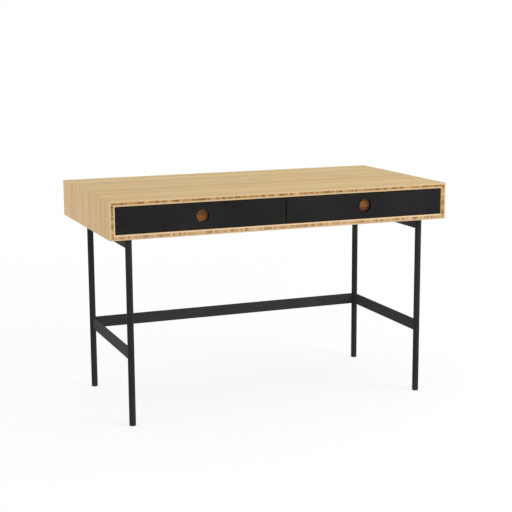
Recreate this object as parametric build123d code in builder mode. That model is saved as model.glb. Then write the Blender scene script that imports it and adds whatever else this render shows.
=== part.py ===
from build123d import *
import os

# Writing desk: a mitred bamboo case with two inset drawers on a welded steel base.
# Millimetres. X runs along the desk, +Y goes to the back, +Z is up.
# The origin is on the floor, under the middle of the desk. Left is the -X side.

# Overall size
desk_width = 1219
desk_depth = 635
desk_height = 762
case_height = 127
panel_thick = 18
arris = 0.8

case_bottom = desk_height - case_height
case_middle = desk_height - case_height / 2
front_y = -desk_depth / 2
back_y = desk_depth / 2
inner_half_width = desk_width / 2 - panel_thick
inner_height = case_height - 2 * panel_thick
floor_of_case = case_bottom + panel_thick

# Case joinery
spline_thick = 4
spline_width = 16
spline_stop = 30
spline_offset = 7
back_thick = 9
back_groove = 6
back_inset = 12
divider_thick = 18
divider_housing = 5

# Drawers
front_thick = 15
front_recess = 1.5
front_gap = 2.5
middle_gap = 3
finger_hole_radius = 21.5
finger_hole_round = 1.5
box_thick = 12
box_height = 74
box_depth = 460
box_lift = 6
box_rabbet = 6
bottom_thick = 6
bottom_lift = 8

opening_left = divider_thick / 2
opening_width = inner_half_width - opening_left
opening_middle = opening_left + opening_width / 2
front_width = inner_half_width - front_gap - middle_gap / 2
front_middle = middle_gap / 2 + front_width / 2
front_height = inner_height - 2 * front_gap
box_front_y = front_y + front_recess + front_thick
box_base = floor_of_case + box_lift

# Ball bearing slides: distances are counted from the wall they are screwed to
slide_depth = 12.7
slide_length = 450
slide_start = box_front_y + 3
slide_middle_y = slide_start + slide_length / 2
sheet_thick = 1.2
outer_half = 22.5
outer_reach = 10
middle_half = 17.5
middle_web = 3
middle_reach = 10
inner_half = 12.5
inner_reach = 5.5
lip = 1.2
ball_radius = 1.8
ball_clearance = 0.1
outer_ball_x = 6
inner_ball_x = 7.8
ball_count = 8
ball_pitch = 26
cage_sheet = 0.5
outer_cage_x = (sheet_thick + middle_web) / 2
inner_cage_x = (middle_web + sheet_thick + inner_reach) / 2
cage_start = -180
cage_length = 210
cage_middle_y = cage_start + cage_length / 2
slide_screw_y = (slide_start + 35, slide_start + 225, slide_start + 415)
screw_radius = 1.75
screw_head_radius = 2.95
screw_length = 8

box_width = opening_width - 2 * slide_depth
box_level = box_base + box_height / 2

# Steel base
leg_radius = 11.1
leg_wall = 2
leg_x = desk_width / 2 - 76
front_leg_y = front_y + 56
back_leg_y = back_y - 76
bar_height = 40
bar_thick = 6
stretcher_base = 222
foot_height = 5
foot_plug = 14
tab_width = 40
tab_reach = 34
tab_thick = 3
tab_corner = 6
tab_y = (-200, -10, 180)
bolt_radius = 2.95
bolt_hole_radius = 3.3
bolt_head_radius = 5.25
bolt_head_height = 3.3
bolt_head_round = 2
bolt_socket_radius = 2.3
bolt_socket_depth = 2
bolt_length = 15
thread_clearance = 0.05
insert_radius = 4.5
insert_length = 13
bolt_x = leg_x - bar_thick / 2 - 19

# Screws that hold each drawer front to its box
front_screw_length = 22
pan_head_radius = 3.6
pan_head_height = 2.2
front_screw_spread = 380
front_screw_rise = 36

os.makedirs("parts", exist_ok=True)


def save(part, name):
    """Labels a finished piece and writes it under its own name."""
    part.label = name
    export_step(part, f"parts/{name}.step")


def sides():
    """The two mirrored halves of the desk, as (name, sign of X)."""
    return (("left", -1), ("right", 1))


# ---------------------------------------------------------------- case

def mitred_panel(middle, along, length):
    """A board with mitred ends. Its outer face has middle on its front edge, and along is the way it runs."""
    half = length / 2
    plane = Plane(origin=middle, x_dir=along, z_dir=(0, 1, 0))
    with BuildPart() as panel:
        with BuildSketch(plane):
            with BuildLine():
                Polyline(
                    (-half + arris, 0),
                    (half - arris, 0),
                    (half - arris / 2, arris / 2),
                    (half - panel_thick, panel_thick),
                    (-half + panel_thick, panel_thick),
                    (-half + arris / 2, arris / 2),
                    close=True,
                )
            make_face()
        extrude(amount=desk_depth)
        inward = Axis(middle, plane.y_dir)
        long_edges = panel.edges().filter_by(Axis(middle, along)).sort_by(inward)
        chamfer(long_edges[:2], arris)
        long_edges = panel.edges().filter_by(Axis(middle, along)).sort_by(inward)
        chamfer(long_edges[-2:], arris / 2)
    return panel.part


def screw_line(wall, way):
    """Where the slide screws enter a wall at X = wall: way is the sign of X that points into the wood."""
    return [Plane((wall, y, box_level), z_dir=(way, 0, 0)).location for y in slide_screw_y]


# Loose splines glued into blind slots across the four mitres
with BuildPart() as corner_splines:
    for side in (-1, 1):
        for level in (-1, 1):
            x = side * (inner_half_width + spline_offset)
            z = case_middle + level * (inner_height / 2 + spline_offset)
            with Locations(Location((x, 0, z), (0, 45 * side * level, 0))):
                Box(spline_width, desk_depth - 2 * spline_stop, spline_thick)
save(corner_splines.part, "corner_splines")

# The back panel stands in a groove all the way round the case
back_panel_y = back_y - back_inset - back_thick / 2
with BuildPart() as back_panel:
    with Locations((0, back_panel_y, case_middle)):
        Box(2 * (inner_half_width + back_groove), back_thick, inner_height + 2 * back_groove)
save(back_panel.part, "back_panel")

# The divider stands behind the gap between the two drawer fronts, housed in the top and bottom
divider_front = box_front_y + 2
divider_back = back_panel_y - back_thick / 2
with BuildPart() as centre_divider:
    with Locations((0, (divider_front + divider_back) / 2, case_middle)):
        Box(divider_thick, divider_back - divider_front, inner_height + 2 * divider_housing)
divider_blank = centre_divider.part

bolt_places = [(side * bolt_x, y) for side in (-1, 1) for y in tab_y]
insert_places = [(x, y, case_bottom) for x, y in bolt_places]

top_blank = mitred_panel((0, front_y, desk_height), (1, 0, 0), desk_width)
with BuildPart() as top_panel:
    add(top_blank)
    add(corner_splines.part, mode=Mode.SUBTRACT)
    add(back_panel.part, mode=Mode.SUBTRACT)
    add(divider_blank, mode=Mode.SUBTRACT)
save(top_panel.part, "top_panel")

bottom_blank = mitred_panel((0, front_y, case_bottom), (-1, 0, 0), desk_width)
with BuildPart() as bottom_panel:
    add(bottom_blank)
    add(corner_splines.part, mode=Mode.SUBTRACT)
    add(back_panel.part, mode=Mode.SUBTRACT)
    add(divider_blank, mode=Mode.SUBTRACT)
    with Locations(*insert_places):
        Cylinder(
            insert_radius,
            insert_length,
            align=(Align.CENTER, Align.CENTER, Align.MIN),
            mode=Mode.SUBTRACT,
        )
save(bottom_panel.part, "bottom_panel")

for name, sign in sides():
    side_blank = mitred_panel((sign * desk_width / 2, front_y, case_middle), (0, 0, -sign), case_height)
    with BuildPart() as side_panel:
        add(side_blank)
        add(corner_splines.part, mode=Mode.SUBTRACT)
        add(back_panel.part, mode=Mode.SUBTRACT)
        with Locations(*screw_line(sign * inner_half_width, sign)):
            Cylinder(
                screw_radius,
                screw_length,
                align=(Align.CENTER, Align.CENTER, Align.MIN),
                mode=Mode.SUBTRACT,
            )
    save(side_panel.part, f"{name}_side_panel")

with BuildPart() as centre_divider:
    add(divider_blank)
    for side in (-1, 1):
        with Locations(*screw_line(side * opening_left, -side)):
            Cylinder(
                screw_radius,
                screw_length,
                align=(Align.CENTER, Align.CENTER, Align.MIN),
                mode=Mode.SUBTRACT,
            )
save(centre_divider.part, "centre_divider")

# ---------------------------------------------------------------- steel base

leg_places = {
    "front": front_leg_y,
    "back": back_leg_y,
}

for row, leg_y in leg_places.items():
    for name, sign in sides():
        with BuildPart() as leg:
            with BuildSketch(Plane.XY.offset(foot_height)):
                with Locations((sign * leg_x, leg_y)):
                    Circle(leg_radius)
                    Circle(leg_radius - leg_wall, mode=Mode.SUBTRACT)
            extrude(amount=case_bottom - foot_height)
        save(leg.part, f"{row}_{name}_leg")

        # Nylon glide: a disc under the tube with a plug up inside it
        with BuildPart() as glide:
            with BuildSketch(Plane.XY):
                with Locations((sign * leg_x, leg_y)):
                    Circle(leg_radius)
            extrude(amount=foot_height)
            chamfer(glide.edges().sort_by(Axis.Z)[:1], 1)
            with BuildSketch(Plane.XY.offset(foot_height)):
                with Locations((sign * leg_x, leg_y)):
                    Circle(leg_radius - leg_wall)
            extrude(amount=foot_plug)
            chamfer(glide.edges().sort_by(Axis.Z)[-1:], 1)
        save(glide.part, f"{row}_{name}_foot_glide")


def leg_posts():
    """Four solid posts where the legs stand, which the bars are coped against."""
    with BuildPart() as posts:
        with BuildSketch(Plane.XY):
            with Locations(*[(side * leg_x, y) for side in (-1, 1) for y in leg_places.values()]):
                Circle(leg_radius)
        extrude(amount=case_bottom)
    return posts.part


posts = leg_posts()
leg_middle_y = (front_leg_y + back_leg_y) / 2
leg_span = back_leg_y - front_leg_y

for name, sign in sides():
    for piece, base in (("side_stretcher", stretcher_base), ("top_rail", case_bottom - bar_height)):
        with BuildPart() as bar:
            with Locations((sign * leg_x, leg_middle_y, base + bar_height / 2)):
                Box(bar_thick, leg_span, bar_height)
            add(posts, mode=Mode.SUBTRACT)
        save(bar.part, f"{name}_{piece}")

# Tabs welded to the inner faces of the top rails, for the bolts that hold the case
tab_middle_x = leg_x - bar_thick / 2 - tab_reach / 2
tab_places = [(side * tab_middle_x, y, case_bottom - tab_thick / 2) for side in (-1, 1) for y in tab_y]
with BuildPart() as mounting_tabs:
    with Locations(*tab_places):
        Box(tab_reach, tab_width, tab_thick)
    upright_edges = mounting_tabs.edges().filter_by(Axis.Z)
    free_corners = upright_edges.filter_by(lambda edge: abs(edge.center().X) < tab_middle_x)
    fillet(free_corners, tab_corner)
    with Locations(*insert_places):
        Hole(bolt_hole_radius, depth=tab_thick)
save(mounting_tabs.part, "mounting_tabs")

with BuildPart() as rear_stretcher:
    with Locations((0, back_leg_y, stretcher_base + bar_height / 2)):
        Box(2 * leg_x, bar_thick, bar_height)
    add(posts, mode=Mode.SUBTRACT)
save(rear_stretcher.part, "rear_stretcher")

# Button head bolts up through the tabs, into threaded inserts in the case
bolt_seat = case_bottom - tab_thick
with BuildPart() as frame_bolts:
    with BuildSketch(Plane.XY.offset(bolt_seat - bolt_head_height)):
        with Locations(*bolt_places):
            Circle(bolt_head_radius)
    extrude(amount=bolt_head_height)
    fillet(frame_bolts.faces().sort_by(Axis.Z)[: len(bolt_places)].edges(), bolt_head_round)
    with BuildSketch(Plane.XY.offset(bolt_seat)):
        with Locations(*bolt_places):
            Circle(bolt_radius)
    extrude(amount=bolt_length)
    with BuildSketch(Plane.XY.offset(bolt_seat - bolt_head_height)):
        with Locations(*bolt_places):
            RegularPolygon(bolt_socket_radius, 6)
    extrude(amount=bolt_socket_depth, mode=Mode.SUBTRACT)
save(frame_bolts.part, "frame_bolts")

with BuildPart() as threaded_inserts:
    with BuildSketch(Plane.XY.offset(case_bottom)):
        with Locations(*bolt_places):
            Circle(insert_radius)
            Circle(bolt_radius + thread_clearance, mode=Mode.SUBTRACT)
    extrude(amount=insert_length)
save(threaded_inserts.part, "threaded_inserts")

# ---------------------------------------------------------------- drawers

front_screw_x = (-front_screw_spread / 2, front_screw_spread / 2)
front_screw_z = (-front_screw_rise / 2, front_screw_rise / 2)
front_face_y = front_y + front_recess
box_inner_y = box_front_y + box_thick
box_back_y = box_front_y + box_depth
bottom_level = box_base + bottom_lift + bottom_thick / 2

for name, sign in sides():
    box_x = sign * opening_middle
    face_x = sign * front_middle
    screw_places = [(face_x + x, box_level + z) for x in front_screw_x for z in front_screw_z]

    # Screws from inside the box, through its front, into the black drawer front
    with BuildPart() as front_screws:
        with BuildSketch(Plane.XZ.offset(-box_inner_y)):
            with Locations(*screw_places):
                Circle(screw_radius)
        extrude(amount=front_screw_length)
        with BuildSketch(Plane.XZ.offset(-box_inner_y)):
            with Locations(*screw_places):
                Circle(pan_head_radius)
        extrude(amount=-pan_head_height)
        fillet(front_screws.faces().sort_by(Axis.Y)[-4:].edges(), 1)
        with BuildSketch(Plane.XZ.offset(-box_inner_y - pan_head_height)):
            with Locations(*screw_places):
                Rectangle(3.4, 0.8)
                Rectangle(0.8, 3.4)
        extrude(amount=1.2, mode=Mode.SUBTRACT)
    save(front_screws.part, f"{name}_drawer_front_screws")

    # Black front with a round finger hole right through it
    with BuildPart() as front:
        with Locations((face_x, front_face_y + front_thick / 2, case_middle)):
            Box(front_width, front_thick, front_height)
        chamfer(front.faces().sort_by(Axis.Y)[0].edges(), arris)
        with Locations(Plane((face_x, front_face_y, case_middle), z_dir=(0, -1, 0)).location):
            Hole(finger_hole_radius, depth=front_thick)
        hole_rim = front.edges().filter_by(GeomType.CIRCLE).sort_by(Axis.Y)[:1]
        fillet(hole_rim, finger_hole_round)
        add(front_screws.part, mode=Mode.SUBTRACT)
    save(front.part, f"{name}_drawer_front")

    # Box bottom, held in a groove on all four sides
    inner_width = box_width - 2 * box_thick
    inner_depth = box_depth - 2 * box_thick
    with BuildPart() as box_bottom:
        with Locations((box_x, box_front_y + box_depth / 2, bottom_level)):
            Box(inner_width + box_thick, inner_depth + box_thick, bottom_thick)
    save(box_bottom.part, f"{name}_drawer_bottom")

    # Box front and back, let into rabbets in the sides
    for piece, y in (("box_front", box_front_y), ("box_back", box_back_y - box_thick)):
        with BuildPart() as end:
            with Locations((box_x, y + box_thick / 2, box_level)):
                Box(inner_width + 2 * box_rabbet, box_thick, box_height)
            add(box_bottom.part, mode=Mode.SUBTRACT)
            add(front_screws.part, mode=Mode.SUBTRACT)
            fillet(end.faces().sort_by(Axis.Z)[-1].edges().filter_by(Axis.X), 1.5)
        save(end.part, f"{name}_drawer_{piece}")

    # Box sides run the full depth
    for hand, way in sides():
        outer_face = box_x + way * box_width / 2
        with BuildPart() as box_side:
            with Locations((outer_face - way * box_thick / 2, box_front_y + box_depth / 2, box_level)):
                Box(box_thick, box_depth, box_height)
            rabbet_x = outer_face - way * (box_thick - box_rabbet / 2)
            with Locations(
                (rabbet_x, box_front_y + box_thick / 2, box_level),
                (rabbet_x, box_back_y - box_thick / 2, box_level),
            ):
                Box(box_rabbet, box_thick, box_height, mode=Mode.SUBTRACT)
            add(box_bottom.part, mode=Mode.SUBTRACT)
            top_edges = box_side.edges().filter_by(Axis.Y).group_by(Axis.Z)[-1]
            fillet(top_edges, 1.5)
            with Locations(*screw_line(outer_face, -way)):
                Cylinder(
                    screw_radius,
                    screw_length,
                    align=(Align.CENTER, Align.CENTER, Align.MIN),
                    mode=Mode.SUBTRACT,
                )
        save(box_side.part, f"{name}_drawer_box_{hand}_side")


# ---------------------------------------------------------------- slides

def channel(plane, half_height, web_from, reach, lip_depth, flip=False):
    """A rolled steel channel along +Y: its web starts at web_from, and its flanges end at reach."""
    with BuildPart() as member:
        web_at = web_from + sheet_thick / 2
        near, far = min(web_from, reach), max(web_from + sheet_thick, reach)
        lip_at = reach + sheet_thick / 2 if flip else reach - sheet_thick / 2
        with BuildSketch(plane):
            with Locations((web_at, 0)):
                Rectangle(sheet_thick, 2 * half_height)
            for level in (-1, 1):
                with Locations(((near + far) / 2, level * (half_height - sheet_thick / 2))):
                    Rectangle(far - near, sheet_thick)
                with Locations((lip_at, level * (half_height - lip_depth / 2))):
                    Rectangle(sheet_thick, lip_depth)
        extrude(amount=slide_length)
    return member.part


def screws(places):
    """Flat head screws whose heads lie in the sheet metal: each place points into the wood."""
    with BuildPart() as group:
        with Locations(*places):
            Cylinder(screw_radius, screw_length, align=(Align.CENTER, Align.CENTER, Align.MIN))
            Cone(
                screw_head_radius,
                screw_radius,
                sheet_thick,
                align=(Align.CENTER, Align.CENTER, Align.MAX),
            )
    return group.part


first_ball_y = cage_middle_y - (ball_count - 1) / 2 * ball_pitch
ball_y = [first_ball_y + i * ball_pitch for i in range(ball_count)]
case_screw_places = []
for name, sign in sides():
    box_screw_places = []
    cage_parts = {"outer": [], "inner": []}
    ball_parts = {"outer": [], "inner": []}
    for hand, way in sides():
        near_divider = way != sign
        wall = sign * (opening_left if near_divider else inner_half_width)
        # Local X points from the wall to the drawer, local Y is vertical, and the member runs along +Y
        plane = Plane(origin=(wall, slide_start, box_level), x_dir=(-way, 0, 0), z_dir=(0, 1, 0))
        into_case = screw_line(wall, way)
        into_box = screw_line(wall - way * slide_depth, -way)
        case_screw_places += into_case
        box_screw_places += into_box

        with BuildPart() as outer_member:
            add(channel(plane, outer_half, 0, outer_reach, sheet_thick + lip))
            add(screws(into_case), mode=Mode.SUBTRACT)
        save(outer_member.part, f"{name}_drawer_{hand}_slide_outer")

        with BuildPart() as middle_member:
            add(channel(plane, middle_half, middle_web, middle_reach, sheet_thick))
        save(middle_member.part, f"{name}_drawer_{hand}_slide_middle")

        with BuildPart() as inner_member:
            add(channel(plane, inner_half, slide_depth - sheet_thick, inner_reach, sheet_thick, flip=True))
            add(screws(into_box), mode=Mode.SUBTRACT)
        save(inner_member.part, f"{name}_drawer_{hand}_slide_inner")

        # Each cage is a folded strip that spaces a row of balls above and below
        ball_rows = {
            "outer": (outer_ball_x, (outer_half - sheet_thick + middle_half) / 2, outer_cage_x),
            "inner": (inner_ball_x, (middle_half - sheet_thick + inner_half) / 2, inner_cage_x),
        }
        cage_plane = Plane(origin=(wall, cage_start, box_level), x_dir=(-way, 0, 0), z_dir=(0, 1, 0))
        for race, (ball_x, ball_z, web_x) in ball_rows.items():
            flange_end = ball_x + ball_radius
            row_x = wall - way * ball_x
            places = [(row_x, y, box_level + level * ball_z) for y in ball_y for level in (-1, 1)]
            with BuildPart() as cage:
                with BuildSketch(cage_plane):
                    with Locations((web_x, 0)):
                        Rectangle(cage_sheet, 2 * ball_z + cage_sheet)
                    for level in (-1, 1):
                        with Locations(((web_x + flange_end) / 2, level * ball_z)):
                            Rectangle(flange_end - web_x + cage_sheet, cage_sheet)
                extrude(amount=cage_length)
                with Locations(*places):
                    Cylinder(ball_radius + ball_clearance, 4 * cage_sheet, mode=Mode.SUBTRACT)
            cage_parts[race].append(cage.part)
            with BuildPart() as balls:
                with Locations(*places):
                    Sphere(ball_radius)
            ball_parts[race].append(balls.part)

    save(screws(box_screw_places), f"{name}_drawer_slide_screws")
    for race in ("outer", "inner"):
        with BuildPart() as cages:
            add(cage_parts[race])
        save(cages.part, f"{name}_drawer_{race}_ball_cages")
        with BuildPart() as balls:
            add(ball_parts[race])
        save(balls.part, f"{name}_drawer_{race}_balls")

save(screws(case_screw_places), "case_slide_screws")
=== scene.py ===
import math

import bpy
from mathutils import Matrix, Vector


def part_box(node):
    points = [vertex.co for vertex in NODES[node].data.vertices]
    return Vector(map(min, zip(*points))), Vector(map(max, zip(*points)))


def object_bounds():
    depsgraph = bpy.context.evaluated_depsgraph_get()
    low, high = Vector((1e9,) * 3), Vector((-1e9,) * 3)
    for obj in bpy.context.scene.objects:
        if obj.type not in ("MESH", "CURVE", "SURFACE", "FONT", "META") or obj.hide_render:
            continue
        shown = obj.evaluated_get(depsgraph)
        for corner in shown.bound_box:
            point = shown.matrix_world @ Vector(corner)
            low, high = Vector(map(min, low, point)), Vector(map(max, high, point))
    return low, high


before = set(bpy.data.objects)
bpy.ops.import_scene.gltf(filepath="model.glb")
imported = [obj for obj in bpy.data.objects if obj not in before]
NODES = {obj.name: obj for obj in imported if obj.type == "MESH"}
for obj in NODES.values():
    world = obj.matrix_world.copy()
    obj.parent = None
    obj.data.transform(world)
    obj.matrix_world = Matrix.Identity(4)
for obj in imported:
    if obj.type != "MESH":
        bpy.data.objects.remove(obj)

cad_low, cad_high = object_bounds()

# Every piece of the desk keeps its CAD shape and gets a material. The patterns are solid textures, worked
# out from the place in the desk in metres, so they run through a piece and ride with it.

# ---------------------------------------------------------------- sizes read from the frame

X, Y, Z = 0, 1, 2
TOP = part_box("top_panel")
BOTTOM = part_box("bottom_panel")
PANEL = TOP[1].z - TOP[0].z
CASE_BASE = BOTTOM[0].z
DESK_TOP = TOP[1].z
CASE_HALF_WIDTH = cad_high.x
FRONT = TOP[0].y
BACK = TOP[1].y

# ---------------------------------------------------------------- measures of the looks, in metres

# Bamboo board: pale face plies over a darker cross-laid core, which starts and ends at two depths
STRIP_WIDTH = 0.0195
CORE_CELL = 0.0072
NODE_SPACING = 0.31
CORE_DEPTHS = (0.0055, 0.0125)
PLY_BLUR = 0.0001

# On the sawn edges: share of the paler colour, and the painted shade of the outer and the inner face ply,
# as the factor each is darkened by
EDGE_PALENESS = 0.4
PLY_PAINTED_SHADES = (1.0, 0.88)

# Widths of the boards that the drawer boxes are glued up from, and of the bands in their bottoms
BOX_BOARD = 0.024
BOTTOM_BAND = 0.11

# Height of the relief in wood, lacquer and powder coat, in moulded nylon, and in drawn steel
RELIEF = 0.00012
NYLON_RELIEF = 0.0001
STEEL_RELIEF = 0.00004

# Camera, at the viewing angle of the reference view
CAMERA_PLACE = Vector((-1.59456, -4.03217, 1.28417))
CAMERA_YAW = 0.380
CAMERA_PITCH = -0.181
CAMERA_ROLL = -0.005
SENSOR = 36.0
FRAME_SIDE = 512
FOCAL_PIXELS = 1220.12

# Softboxes are name, place, size and watts. All face one point, just under the middle of the case
LIT_POINT = Vector((0.0, 0.0, 0.55))
SOFTBOXES = (
    ("key", Vector((3.4, -3.6, 2.0)), (2.2, 2.2), 120.0),
    ("fill", Vector((-0.6, -3.8, 0.8)), (2.0, 1.2), 10.0),
)

# The floor reaches this far each way. A share of it is white glow: GLOW_AT_DESK within GLOW_RISES of
# the desk's middle, growing to the whole of it at ALL_GLOW
FLOOR_REACH = 30.0
GLOW_AT_DESK = 0.72
GLOW_RISES = 0.4
ALL_GLOW = 4.0


# ---------------------------------------------------------------- colours, from dark to light

def srgb(red, green, blue):
    """A colour given as 0-255 screen values, as Blender's linear colour."""
    def linear(value):
        v = value / 255
        return v / 12.92 if v <= 0.04045 else ((v + 0.055) / 1.055) ** 2.4
    return (linear(red), linear(green), linear(blue), 1.0)


def grey(value):
    return srgb(value, value, value)


FACE_COLOURS = (srgb(168, 134, 80), srgb(193, 162, 100), srgb(211, 184, 124))
# A paler copy of the face colours above, which is painted light, used for the sides, the bottom and the
# back
SIDE_FACE_PAINTED_LIGHT = (srgb(180, 142, 92), srgb(202, 168, 118), srgb(217, 187, 142))
EDGE_COLOUR = srgb(202, 184, 166)
CORE_COLOURS = (srgb(88, 53, 22), srgb(156, 117, 69), srgb(197, 161, 112))
PALE_CORE = (srgb(128, 90, 54), srgb(170, 138, 98), srgb(200, 172, 136))
AMBER = (srgb(50, 23, 6), srgb(130, 79, 33), srgb(162, 108, 60))
PALE_PLY = (srgb(150, 116, 76), srgb(176, 146, 104), srgb(196, 170, 130))


# ---------------------------------------------------------------- material building

class Tree:
    """One node material around a Principled shader, built from small steps that each return a socket."""

    def __init__(self, name):
        self.material = bpy.data.materials.new(name)
        self.material.use_nodes = True
        self.nodes = self.material.node_tree.nodes
        self.links = self.material.node_tree.links
        self.shader = self.nodes["Principled BSDF"]
        self.place = self.make("ShaderNodeTexCoord").outputs["Object"]

    def make(self, kind, **settings):
        node = self.nodes.new(kind)
        for key, value in settings.items():
            setattr(node, key, value)
        return node

    def feed(self, socket, value):
        if isinstance(value, bpy.types.NodeSocket):
            self.links.new(value, socket)
        else:
            socket.default_value = value

    def math(self, operation, *values):
        node = self.make("ShaderNodeMath", operation=operation)
        for socket, value in zip(node.inputs, values):
            self.feed(socket, value)
        return node.outputs[0]

    def add(self, a, b):
        return self.math("ADD", a, b)

    def subtract(self, a, b):
        return self.math("SUBTRACT", a, b)

    def times(self, a, b):
        return self.math("MULTIPLY", a, b)

    def gap(self, a, b):
        return self.math("ABSOLUTE", self.subtract(a, b))

    def weigh(self, value, *parts):
        """value, raised or lowered by patterns that run from 0 to 1. parts are (pattern, weight)."""
        for pattern, weight in parts:
            value = self.add(value, self.times(self.subtract(pattern, 0.5), weight))
        return value

    def lanes(self, value):
        """The whole number of the lane that value is in, and how far value is from the lane's border."""
        inside = self.math("FRACT", value)
        return self.math("FLOOR", value), self.subtract(0.5, self.gap(inside, 0.5))

    def axes(self):
        split = self.make("ShaderNodeSeparateXYZ")
        self.feed(split.inputs[0], self.place)
        return split.outputs

    def vector(self, x=0.0, y=0.0, z=0.0):
        node = self.make("ShaderNodeCombineXYZ")
        for socket, value in zip(node.inputs, (x, y, z)):
            self.feed(socket, value)
        return node.outputs[0]

    def stretched(self, axes, scales):
        """A place with a scale of its own on each axis. The smaller the scale, the longer the grain."""
        return self.vector(*[self.times(axis, scale) for axis, scale in zip(axes, scales)])

    def noise(self, vector, scale=1.0, detail=2.0, roughness=0.5):
        node = self.make("ShaderNodeTexNoise")
        self.feed(node.inputs["Vector"], vector)
        self.feed(node.inputs["Scale"], scale)
        self.feed(node.inputs["Detail"], detail)
        self.feed(node.inputs["Roughness"], roughness)
        return node.outputs[0]

    def random(self, vector):
        node = self.make("ShaderNodeTexWhiteNoise", noise_dimensions="3D")
        self.feed(node.inputs["Vector"], vector)
        return node.outputs["Value"]

    def smooth(self, value, low, high, to_low=0.0, to_high=1.0):
        """A soft step from to_low, where value is low, to to_high, where value is high."""
        node = self.make("ShaderNodeMapRange", interpolation_type="SMOOTHSTEP")
        self.feed(node.inputs["Value"], value)
        self.feed(node.inputs["From Min"], low)
        self.feed(node.inputs["From Max"], high)
        self.feed(node.inputs["To Min"], to_low)
        self.feed(node.inputs["To Max"], to_high)
        return node.outputs[0]

    def near(self, distance, low, high):
        """1 where distance is under low, 0 where it is over high."""
        return self.smooth(distance, low, high, 1.0, 0.0)

    def ramp(self, value, *stops):
        """stops are (position, colour), in order."""
        node = self.make("ShaderNodeValToRGB")
        self.feed(node.inputs[0], value)
        elements = node.color_ramp.elements
        while len(elements) < len(stops):
            elements.new(0.5)
        for element, (position, colour) in zip(elements, stops):
            element.position = position
            element.color = colour
        return node.outputs[0]

    def mix(self, share, a, b, blend="MIX"):
        node = self.make("ShaderNodeMix", data_type="RGBA", blend_type=blend)
        self.feed(node.inputs[0], share)
        self.feed(node.inputs[6], a)
        self.feed(node.inputs[7], b)
        return node.outputs[2]

    def shade(self, share, colour, factor):
        """colour, darkened towards factor of itself where share is 1."""
        return self.mix(share, colour, (factor, factor, factor, 1.0), "MULTIPLY")

    def bump(self, height, strength, distance=RELIEF):
        node = self.make("ShaderNodeBump")
        self.feed(node.inputs["Strength"], strength)
        self.feed(node.inputs["Distance"], distance)
        self.feed(node.inputs["Height"], height)
        self.links.new(node.outputs[0], self.shader.inputs["Normal"])

    def finish(self, colour, roughness, **constants):
        self.feed(self.shader.inputs["Base Color"], colour)
        self.feed(self.shader.inputs["Roughness"], roughness)
        for name, value in constants.items():
            self.shader.inputs[name.replace("_", " ")].default_value = value
        return self.material


def put(material, *names):
    """Gives CAD nodes their finish."""
    for name in names:
        for slot in NODES[name].material_slots:
            slot.material = material


def put_on_all(material, *endings):
    """Gives every CAD node whose name ends in one of these its finish."""
    put(material, *[name for name in NODES if name.endswith(endings)])


# ---------------------------------------------------------------- bamboo

def bamboo_face(t, along, across, depth, seed, colours):
    """Strips of flat-grain bamboo laid side by side, with their fibres, growth nodes and glue lines."""
    # The two faces of a full-thickness board have different strips
    lane, border = t.lanes(t.math("DIVIDE", across, STRIP_WIDTH))
    side = t.math("GREATER_THAN", depth, PANEL / 2)
    tone = t.random(t.vector(lane, t.add(side, seed), 0.37))
    shift = t.random(t.vector(lane, t.add(side, seed), 5.91))
    place = (along, across, depth)
    slow = t.noise(t.vector(t.times(along, 1.6), t.times(lane, 3.7), seed))
    streaks = t.noise(t.stretched(place, (5.0, 330.0, 330.0)))
    fibres = t.noise(t.stretched(place, (22.0, 1500.0, 1500.0)), detail=3.0, roughness=0.65)
    patches = t.noise(t.vector(t.times(along, 1.1), t.times(across, 9.0), seed + 11.3), detail=3.0)
    value = t.weigh(t.times(tone, 0.36), (slow, 0.3), (streaks, 0.3), (fibres, 0.22), (patches, 0.28))
    value = t.add(value, 0.29)
    colour = t.ramp(value, (0.05, colours[0]), (0.47, colours[1]), (0.95, colours[2]))

    # A growth node is a thin brown line right across its strip
    phase = t.math("FRACT", t.add(t.math("DIVIDE", along, NODE_SPACING), shift))
    reach = t.times(t.gap(phase, 0.5), NODE_SPACING)
    wobble = t.weigh(reach, (streaks, 0.004))
    node_line = t.near(wobble, 0.0006, 0.0026)
    node_halo = t.near(reach, 0.002, 0.014)
    colour = t.shade(t.times(node_halo, 0.5), colour, 0.93)
    colour = t.shade(t.times(node_line, t.add(0.35, t.times(fibres, 0.6))), colour, 0.74)

    seam = t.near(t.times(border, STRIP_WIDTH), 0.0001, 0.00045)
    colour = t.shade(t.times(seam, 0.7), colour, 0.80)
    height = t.add(t.times(fibres, 0.35), t.times(streaks, 0.3))
    height = t.subtract(height, t.add(t.times(seam, 0.9), t.times(node_line, 0.25)))
    return colour, height


def bamboo_core(t, along, across, depth, seed, colours):
    """The middle ply runs across the board, so a sawn edge shows its end grain as uneven brown cells."""
    uneven = t.times(t.noise(t.times(along, 31.0)), 0.9)
    cell, border = t.lanes(t.add(t.math("DIVIDE", along, CORE_CELL), uneven))
    tone = t.random(t.vector(cell, seed, 2.71))
    cluster = t.noise(t.vector(t.times(along, 38.0), seed, 0.0), roughness=0.6)
    pores = t.noise(t.stretched((along, depth, across), (1150.0, 1150.0, 30.0)), roughness=0.7)
    layered = t.noise(t.vector(t.times(along, 60.0), t.times(depth, 620.0), seed))
    value = t.weigh(t.times(tone, 0.5), (cluster, 0.95), (pores, 0.42), (layered, 0.4))
    value = t.add(value, 0.22)
    colour = t.ramp(value, (0.04, colours[0]), (0.5, colours[1]), (0.92, colours[2]))
    joint = t.near(border, 0.01, 0.045)
    colour = t.shade(t.times(joint, 0.55), colour, 0.66)
    height = t.subtract(t.times(pores, 0.6), t.times(joint, 0.6))
    return colour, height


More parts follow.
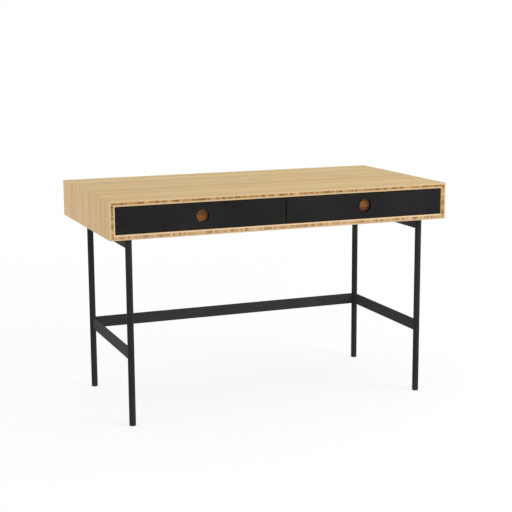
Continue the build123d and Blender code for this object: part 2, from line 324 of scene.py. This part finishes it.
def bamboo_board(name, along, across, depth, seed, face=FACE_COLOURS, core=CORE_COLOURS,
                 plies=CORE_DEPTHS, painted_ply_shades=PLY_PAINTED_SHADES):
    """A three-ply board. along and across are the axes of its face grain.

    depth is (axis, where the outer face is, sign inwards). plies are the depths where the core starts
    and ends, and the ply shades are painted shade: the factors that darken the outer and the inner face
    ply on the sawn edges.
    """
    t = Tree(name)
    axes = t.axes()
    a, b = axes[along], axes[across]
    depth_axis, outer_face, inward = depth
    d = t.times(t.subtract(axes[depth_axis], outer_face), inward)
    face_colour, face_height = bamboo_face(t, a, b, d, seed, face)
    core_colour, core_height = bamboo_core(t, a, b, d, seed, core)

    waves = t.noise(t.vector(t.times(a, 40.0), t.times(b, 40.0), seed))
    wavy = t.weigh(d, (waves, 0.0009))
    first, second = plies
    outer_ply = t.near(wavy, first - PLY_BLUR, first + PLY_BLUR)
    inner_ply = t.smooth(wavy, second - PLY_BLUR, second + PLY_BLUR)
    in_core = t.times(t.subtract(1.0, outer_ply), t.subtract(1.0, inner_ply))
    colour = t.mix(in_core, face_colour, core_colour)
    for level in plies:
        glue = t.near(t.gap(wavy, level), 0.00008, 0.0003)
        colour = t.shade(t.times(glue, 0.6), colour, 0.72)

    # The sawn front and back edges are paler than the faces, and painted shade darkens each face ply
    # there by its own factor
    from_edge = t.math("MINIMUM", t.subtract(axes[Y], FRONT), t.subtract(BACK, axes[Y]))
    sawn = t.near(from_edge, 0.0003, 0.0012)
    pale = t.times(t.times(sawn, EDGE_PALENESS), t.subtract(1.0, in_core))
    colour = t.mix(pale, colour, EDGE_COLOUR)
    # Painted shade: each face ply darkened on the sawn edges
    for ply, tone in zip((outer_ply, inner_ply), painted_ply_shades):
        colour = t.shade(t.times(ply, sawn), colour, tone)

    t.bump(t.mix(in_core, face_height, core_height), 0.55)
    rubbed = t.noise(t.place, scale=3.1, detail=3.0, roughness=0.6)
    rough = t.add(t.weigh(0.42, (rubbed, 0.16)), t.times(in_core, 0.08))
    return t.finish(colour, rough, Specular_IOR_Level=0.10)


back_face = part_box("back_panel")[1].y
divider_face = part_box("centre_divider")[0].x

put(bamboo_board("bamboo_top", X, Y, (Z, DESK_TOP, -1.0), 3.0), "top_panel")
# The boards below take the paler copy of the face colours, which is painted light, and darker ply factors
# on their sawn edges, which are painted shade
put(
    bamboo_board(
        "bamboo_bottom", X, Y, (Z, CASE_BASE, 1.0), 8.0,
        face=SIDE_FACE_PAINTED_LIGHT, core=PALE_CORE, plies=(0.004, 0.0132), painted_ply_shades=(0.87, 1.0),
    ),
    "bottom_panel",
)
put(
    bamboo_board(
        "bamboo_left", Z, Y, (X, -CASE_HALF_WIDTH, 1.0), 14.0,
        face=SIDE_FACE_PAINTED_LIGHT, plies=(0.0055, 0.0135), painted_ply_shades=(0.86, 0.88),
    ),
    "left_side_panel",
)
put(
    bamboo_board(
        "bamboo_right", Z, Y, (X, CASE_HALF_WIDTH, -1.0), 21.0,
        face=SIDE_FACE_PAINTED_LIGHT, plies=(0.0055, 0.0160), painted_ply_shades=(0.9, 0.88),
    ),
    "right_side_panel",
)
put(
    bamboo_board("bamboo_back", X, Z, (Y, back_face, -1.0), 27.0, face=SIDE_FACE_PAINTED_LIGHT, plies=(0.003, 0.006)),
    "back_panel",
)
put(bamboo_board("bamboo_divider", Y, Z, (X, divider_face, 1.0), 33.0), "centre_divider")


# ---------------------------------------------------------------- other timber

def timber(name, along, across, through, colours, seed, board=BOX_BOARD, offset=0.0):
    """Solid wood glued up from boards: wandering growth bands, pores and a fine joint between boards."""
    t = Tree(name)
    axes = t.axes()
    a, b, c = axes[along], axes[across], axes[through]
    lane, border = t.lanes(t.math("DIVIDE", t.subtract(b, offset), board))
    tone = t.random(t.vector(lane, seed, 0.5))
    each_board = t.add(t.times(c, 60.0), t.times(lane, 4.1))
    drift = t.noise(t.vector(t.times(a, 6.0), t.times(b, 60.0), each_board), detail=3.0)
    wandering = t.add(b, t.times(drift, 0.01))
    bands = t.noise(t.stretched((a, wandering, c), (3.0, 260.0, 260.0)), detail=4.0, roughness=0.62)
    pores = t.noise(t.stretched((a, b, c), (120.0, 2200.0, 2200.0)), roughness=0.7)
    value = t.weigh(t.times(tone, 0.3), (bands, 0.9), (drift, 0.35), (pores, 0.3))
    value = t.add(value, 0.34)
    colour = t.ramp(value, (0.08, colours[0]), (0.5, colours[1]), (0.92, colours[2]))
    joint = t.near(t.times(border, board), 0.0002, 0.0012)
    colour = t.shade(t.times(joint, 0.8), colour, 0.5)
    pits = t.near(pores, 0.3, 0.42)
    colour = t.shade(t.times(pits, 0.5), colour, 0.7)
    t.bump(t.subtract(t.times(bands, 0.4), t.add(t.times(pits, 0.6), t.times(joint, 0.8))), 0.6)
    return t.finish(colour, t.weigh(0.5, (bands, 0.2)), Specular_IOR_Level=0.22)


put(timber("spline_wood", Y, X, Z, PALE_PLY, 4.0), "corner_splines")

# joint_height is a board joint's height over the middle of the finger hole that it shows in
front_low, front_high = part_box("left_drawer_front")
hole_z = (front_low.z + front_high.z) / 2
for side, seed, joint_height in (("left", 1.0, 0.003), ("right", 6.0, 0.0165)):
    box = f"{side}_drawer_box"
    put(
        timber(f"amber_front_{side}", X, Z, Y, AMBER, seed, offset=hole_z + joint_height),
        f"{box}_front", f"{box}_back",
    )
    put(
        timber(f"amber_side_{side}", Y, Z, X, AMBER, seed + 2.0, offset=hole_z),
        f"{box}_left_side", f"{box}_right_side",
    )
    put(
        timber(f"drawer_ply_{side}", X, Y, Z, PALE_PLY, seed + 3.0, board=BOTTOM_BAND),
        f"{side}_drawer_bottom",
    )


# ---------------------------------------------------------------- black lacquered drawer fronts

def black_lacquer(name, low, high, seed):
    """Matt black lacquer over fine-grained board, rubbed a little paler along its edges."""
    t = Tree(name)
    x, y, z = t.axes()
    grain = t.noise(t.stretched((x, y, z), (30.0, 400.0, 900.0)), detail=3.0, roughness=0.6)
    peel = t.noise(t.place, scale=520.0, detail=1.0)
    cloud = t.noise(t.place, scale=4.3, detail=3.0, roughness=0.55)
    touched = t.vector(t.times(x, 9.0), t.times(y, 9.0), t.add(t.times(z, 16.0), seed))
    handled = t.noise(touched, detail=4.0, roughness=0.6)
    value = t.add(t.times(grain, 0.35), t.add(t.times(cloud, 0.4), t.times(handled, 0.25)))
    colour = t.ramp(value, (0.34, grey(11)), (0.5, grey(21)), (0.66, grey(30)))

    from_ends = t.math("MINIMUM", t.subtract(x, low.x), t.subtract(high.x, x))
    from_long_edges = t.math("MINIMUM", t.subtract(z, low.z), t.subtract(high.z, z))
    nearest = t.math("MINIMUM", from_ends, from_long_edges)
    rubbed = t.near(t.weigh(nearest, (handled, 0.002)), 0.0002, 0.0013)
    colour = t.mix(t.times(rubbed, 0.08), colour, srgb(62, 61, 60))
    t.bump(t.add(t.times(grain, 0.5), t.times(peel, 0.5)), 0.6)
    return t.finish(colour, t.add(0.34, t.times(handled, 0.3)), Specular_IOR_Level=0.14)


for side, seed in (("left", 2.0), ("right", 9.0)):
    low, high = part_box(f"{side}_drawer_front")
    put(black_lacquer(f"black_front_{side}", low, high, seed), f"{side}_drawer_front")


# ---------------------------------------------------------------- metal and plastic

def powder_coat(name, cloud_scale, *colours):
    """Fine-textured black powder coat, scuffed near the floor."""
    t = Tree(name)
    x, y, z = t.axes()
    texture = t.noise(t.place, scale=1300.0, roughness=0.6)
    lumps = t.noise(t.place, scale=260.0, detail=1.0)
    cloud = t.noise(t.place, scale=cloud_scale, detail=3.0)
    value = t.add(t.times(texture, 0.4), t.times(cloud, 0.6))
    colour = t.ramp(value, (0.3, colours[0]), (0.5, colours[1]), (0.72, colours[2]))
    scuff = t.noise(t.stretched((x, y, z), (90.0, 90.0, 240.0)), detail=4.0, roughness=0.7)
    mark = t.times(t.smooth(scuff, 0.56, 0.66), t.near(z, 0.006, 0.07))
    colour = t.mix(t.times(mark, 0.35), colour, srgb(92, 90, 88))
    t.bump(t.add(t.times(texture, 0.6), t.times(lumps, 0.5)), 0.35)
    return t.finish(colour, t.add(0.5, t.times(cloud, 0.14)), Specular_IOR_Level=0.05)


def moulded_nylon():
    """Black nylon with a moulded texture and a little dust where it meets the floor."""
    t = Tree("black_nylon")
    height = t.axes()[Z]
    texture = t.noise(t.place, scale=900.0)
    cloud = t.noise(t.place, scale=60.0)
    colour = t.ramp(t.add(t.times(texture, 0.5), t.times(cloud, 0.5)), (0.3, grey(22)), (0.7, grey(36)))
    dust = t.times(t.near(height, 0.0, 0.004), t.smooth(cloud, 0.35, 0.65))
    colour = t.mix(t.times(dust, 0.35), colour, srgb(110, 106, 100))
    t.bump(texture, 0.4, NYLON_RELIEF)
    return t.finish(colour, t.add(0.55, t.times(cloud, 0.15)))


def steel(name, along, dark, light, roughness, metallic=1.0):
    """Bare or plated steel with drawing lines along one axis and soft cloudy plating."""
    t = Tree(name)
    scales = [24.0 if axis == along else 900.0 for axis in (X, Y, Z)]
    lines = t.noise(t.stretched(t.axes(), scales), detail=3.0, roughness=0.6)
    cloud = t.noise(t.place, scale=34.0, detail=3.0, roughness=0.6)
    value = t.add(t.times(lines, 0.5), t.times(cloud, 0.5))
    colour = t.ramp(value, (0.32, dark), (0.68, light))
    t.bump(lines, 0.35, STEEL_RELIEF)
    return t.finish(colour, t.weigh(roughness, (cloud, 0.2)), Metallic=metallic)


tube_coat = powder_coat("coated_tube", 7.0, grey(33), grey(39), grey(46))
bar_coat = powder_coat("coated_bar", 10.0, grey(40), grey(47), grey(54))
put_on_all(tube_coat, "_leg")
put_on_all(bar_coat, "stretcher", "top_rail", "mounting_tabs")
put_on_all(moulded_nylon(), "foot_glide")
put(steel("black_oxide", Z, srgb(38, 38, 40), srgb(66, 66, 68), 0.42, metallic=0.6), "frame_bolts")
put(steel("brass", Z, srgb(178, 140, 72), srgb(214, 178, 106), 0.3), "threaded_inserts")
put_on_all(
    steel("zinc_sheet", Y, srgb(166, 169, 172), srgb(206, 208, 210), 0.34),
    "_slide_outer", "_slide_middle", "_slide_inner",
)
put_on_all(steel("cage_sheet", Y, srgb(150, 150, 152), srgb(184, 184, 186), 0.4), "cages")
put_on_all(steel("ball_steel", Y, srgb(206, 207, 210), srgb(228, 229, 231), 0.16), "balls")
put_on_all(steel("zinc_screw", X, srgb(160, 160, 156), srgb(204, 203, 196), 0.36), "screws")


# ---------------------------------------------------------------- stage, light and camera

def floor():
    """A pale floor that runs out into the white surround."""
    mesh = bpy.data.meshes.new("floor")
    r = FLOOR_REACH
    mesh.from_pydata([(-r, -r, 0.0), (r, -r, 0.0), (r, r, 0.0), (-r, r, 0.0)], [], [(0, 1, 2, 3)])
    piece = bpy.data.objects.new("floor", mesh)
    bpy.context.scene.collection.objects.link(piece)
    t = Tree("floor")
    speck = t.noise(t.place, scale=40.0, detail=3.0)
    colour = t.ramp(speck, (0.3, srgb(240, 240, 239)), (0.7, srgb(246, 246, 245)))
    material = t.finish(colour, 0.9, Specular_IOR_Level=0.1)
    distance = t.make("ShaderNodeVectorMath", operation="LENGTH")
    t.feed(distance.inputs[0], t.place)
    glow = t.make("ShaderNodeEmission")
    glow.inputs["Color"].default_value = (1.0, 1.0, 1.0, 1.0)
    blend = t.make("ShaderNodeMixShader")
    t.feed(blend.inputs[0], t.smooth(distance.outputs["Value"], GLOW_RISES, ALL_GLOW, GLOW_AT_DESK, 1.0))
    t.links.new(t.shader.outputs[0], blend.inputs[1])
    t.links.new(glow.outputs[0], blend.inputs[2])
    t.links.new(blend.outputs[0], t.nodes["Material Output"].inputs["Surface"])
    mesh.materials.append(material)


def softbox(name, place, size, power):
    """A rectangular lamp that lights the desk and isn't mirrored in its satin top."""
    light = bpy.data.lights.new(name, "AREA")
    light.shape = "RECTANGLE"
    light.size, light.size_y = size
    light.energy = power
    lamp = bpy.data.objects.new(name, light)
    lamp.location = place
    lamp.visible_glossy = False
    lamp.rotation_euler = (LIT_POINT - place).to_track_quat("-Z", "Y").to_euler()
    bpy.context.scene.collection.objects.link(lamp)


def surround():
    """Even white light from all round."""
    world = bpy.data.worlds.new("studio")
    world.use_nodes = True
    background = world.node_tree.nodes["Background"]
    background.inputs["Color"].default_value = (1.0, 1.0, 1.0, 1.0)
    background.inputs["Strength"].default_value = 1.0
    bpy.context.scene.world = world


def camera():
    """It stands in front of the desk, past its left end and above its top, and looks slightly down."""
    forward = Vector((
        math.sin(CAMERA_YAW) * math.cos(CAMERA_PITCH),
        math.cos(CAMERA_YAW) * math.cos(CAMERA_PITCH),
        math.sin(CAMERA_PITCH),
    ))
    level = Vector((math.cos(CAMERA_YAW), -math.sin(CAMERA_YAW), 0.0))
    upright = level.cross(forward)
    right = math.cos(CAMERA_ROLL) * level + math.sin(CAMERA_ROLL) * upright
    up = math.cos(CAMERA_ROLL) * upright - math.sin(CAMERA_ROLL) * level
    data = bpy.data.cameras.new("camera")
    data.sensor_width = SENSOR
    data.lens = FOCAL_PIXELS / FRAME_SIDE * SENSOR
    data.clip_end = 100.0
    piece = bpy.data.objects.new("camera", data)
    turn = Matrix((right, up, -forward)).transposed().to_4x4()
    piece.matrix_world = Matrix.Translation(CAMERA_PLACE) @ turn
    bpy.context.scene.collection.objects.link(piece)
    bpy.context.scene.camera = piece


floor()
surround()
for lamp in SOFTBOXES:
    softbox(*lamp)
camera()
view = bpy.context.scene.view_settings
view.view_transform = "Standard"
view.look = "None"
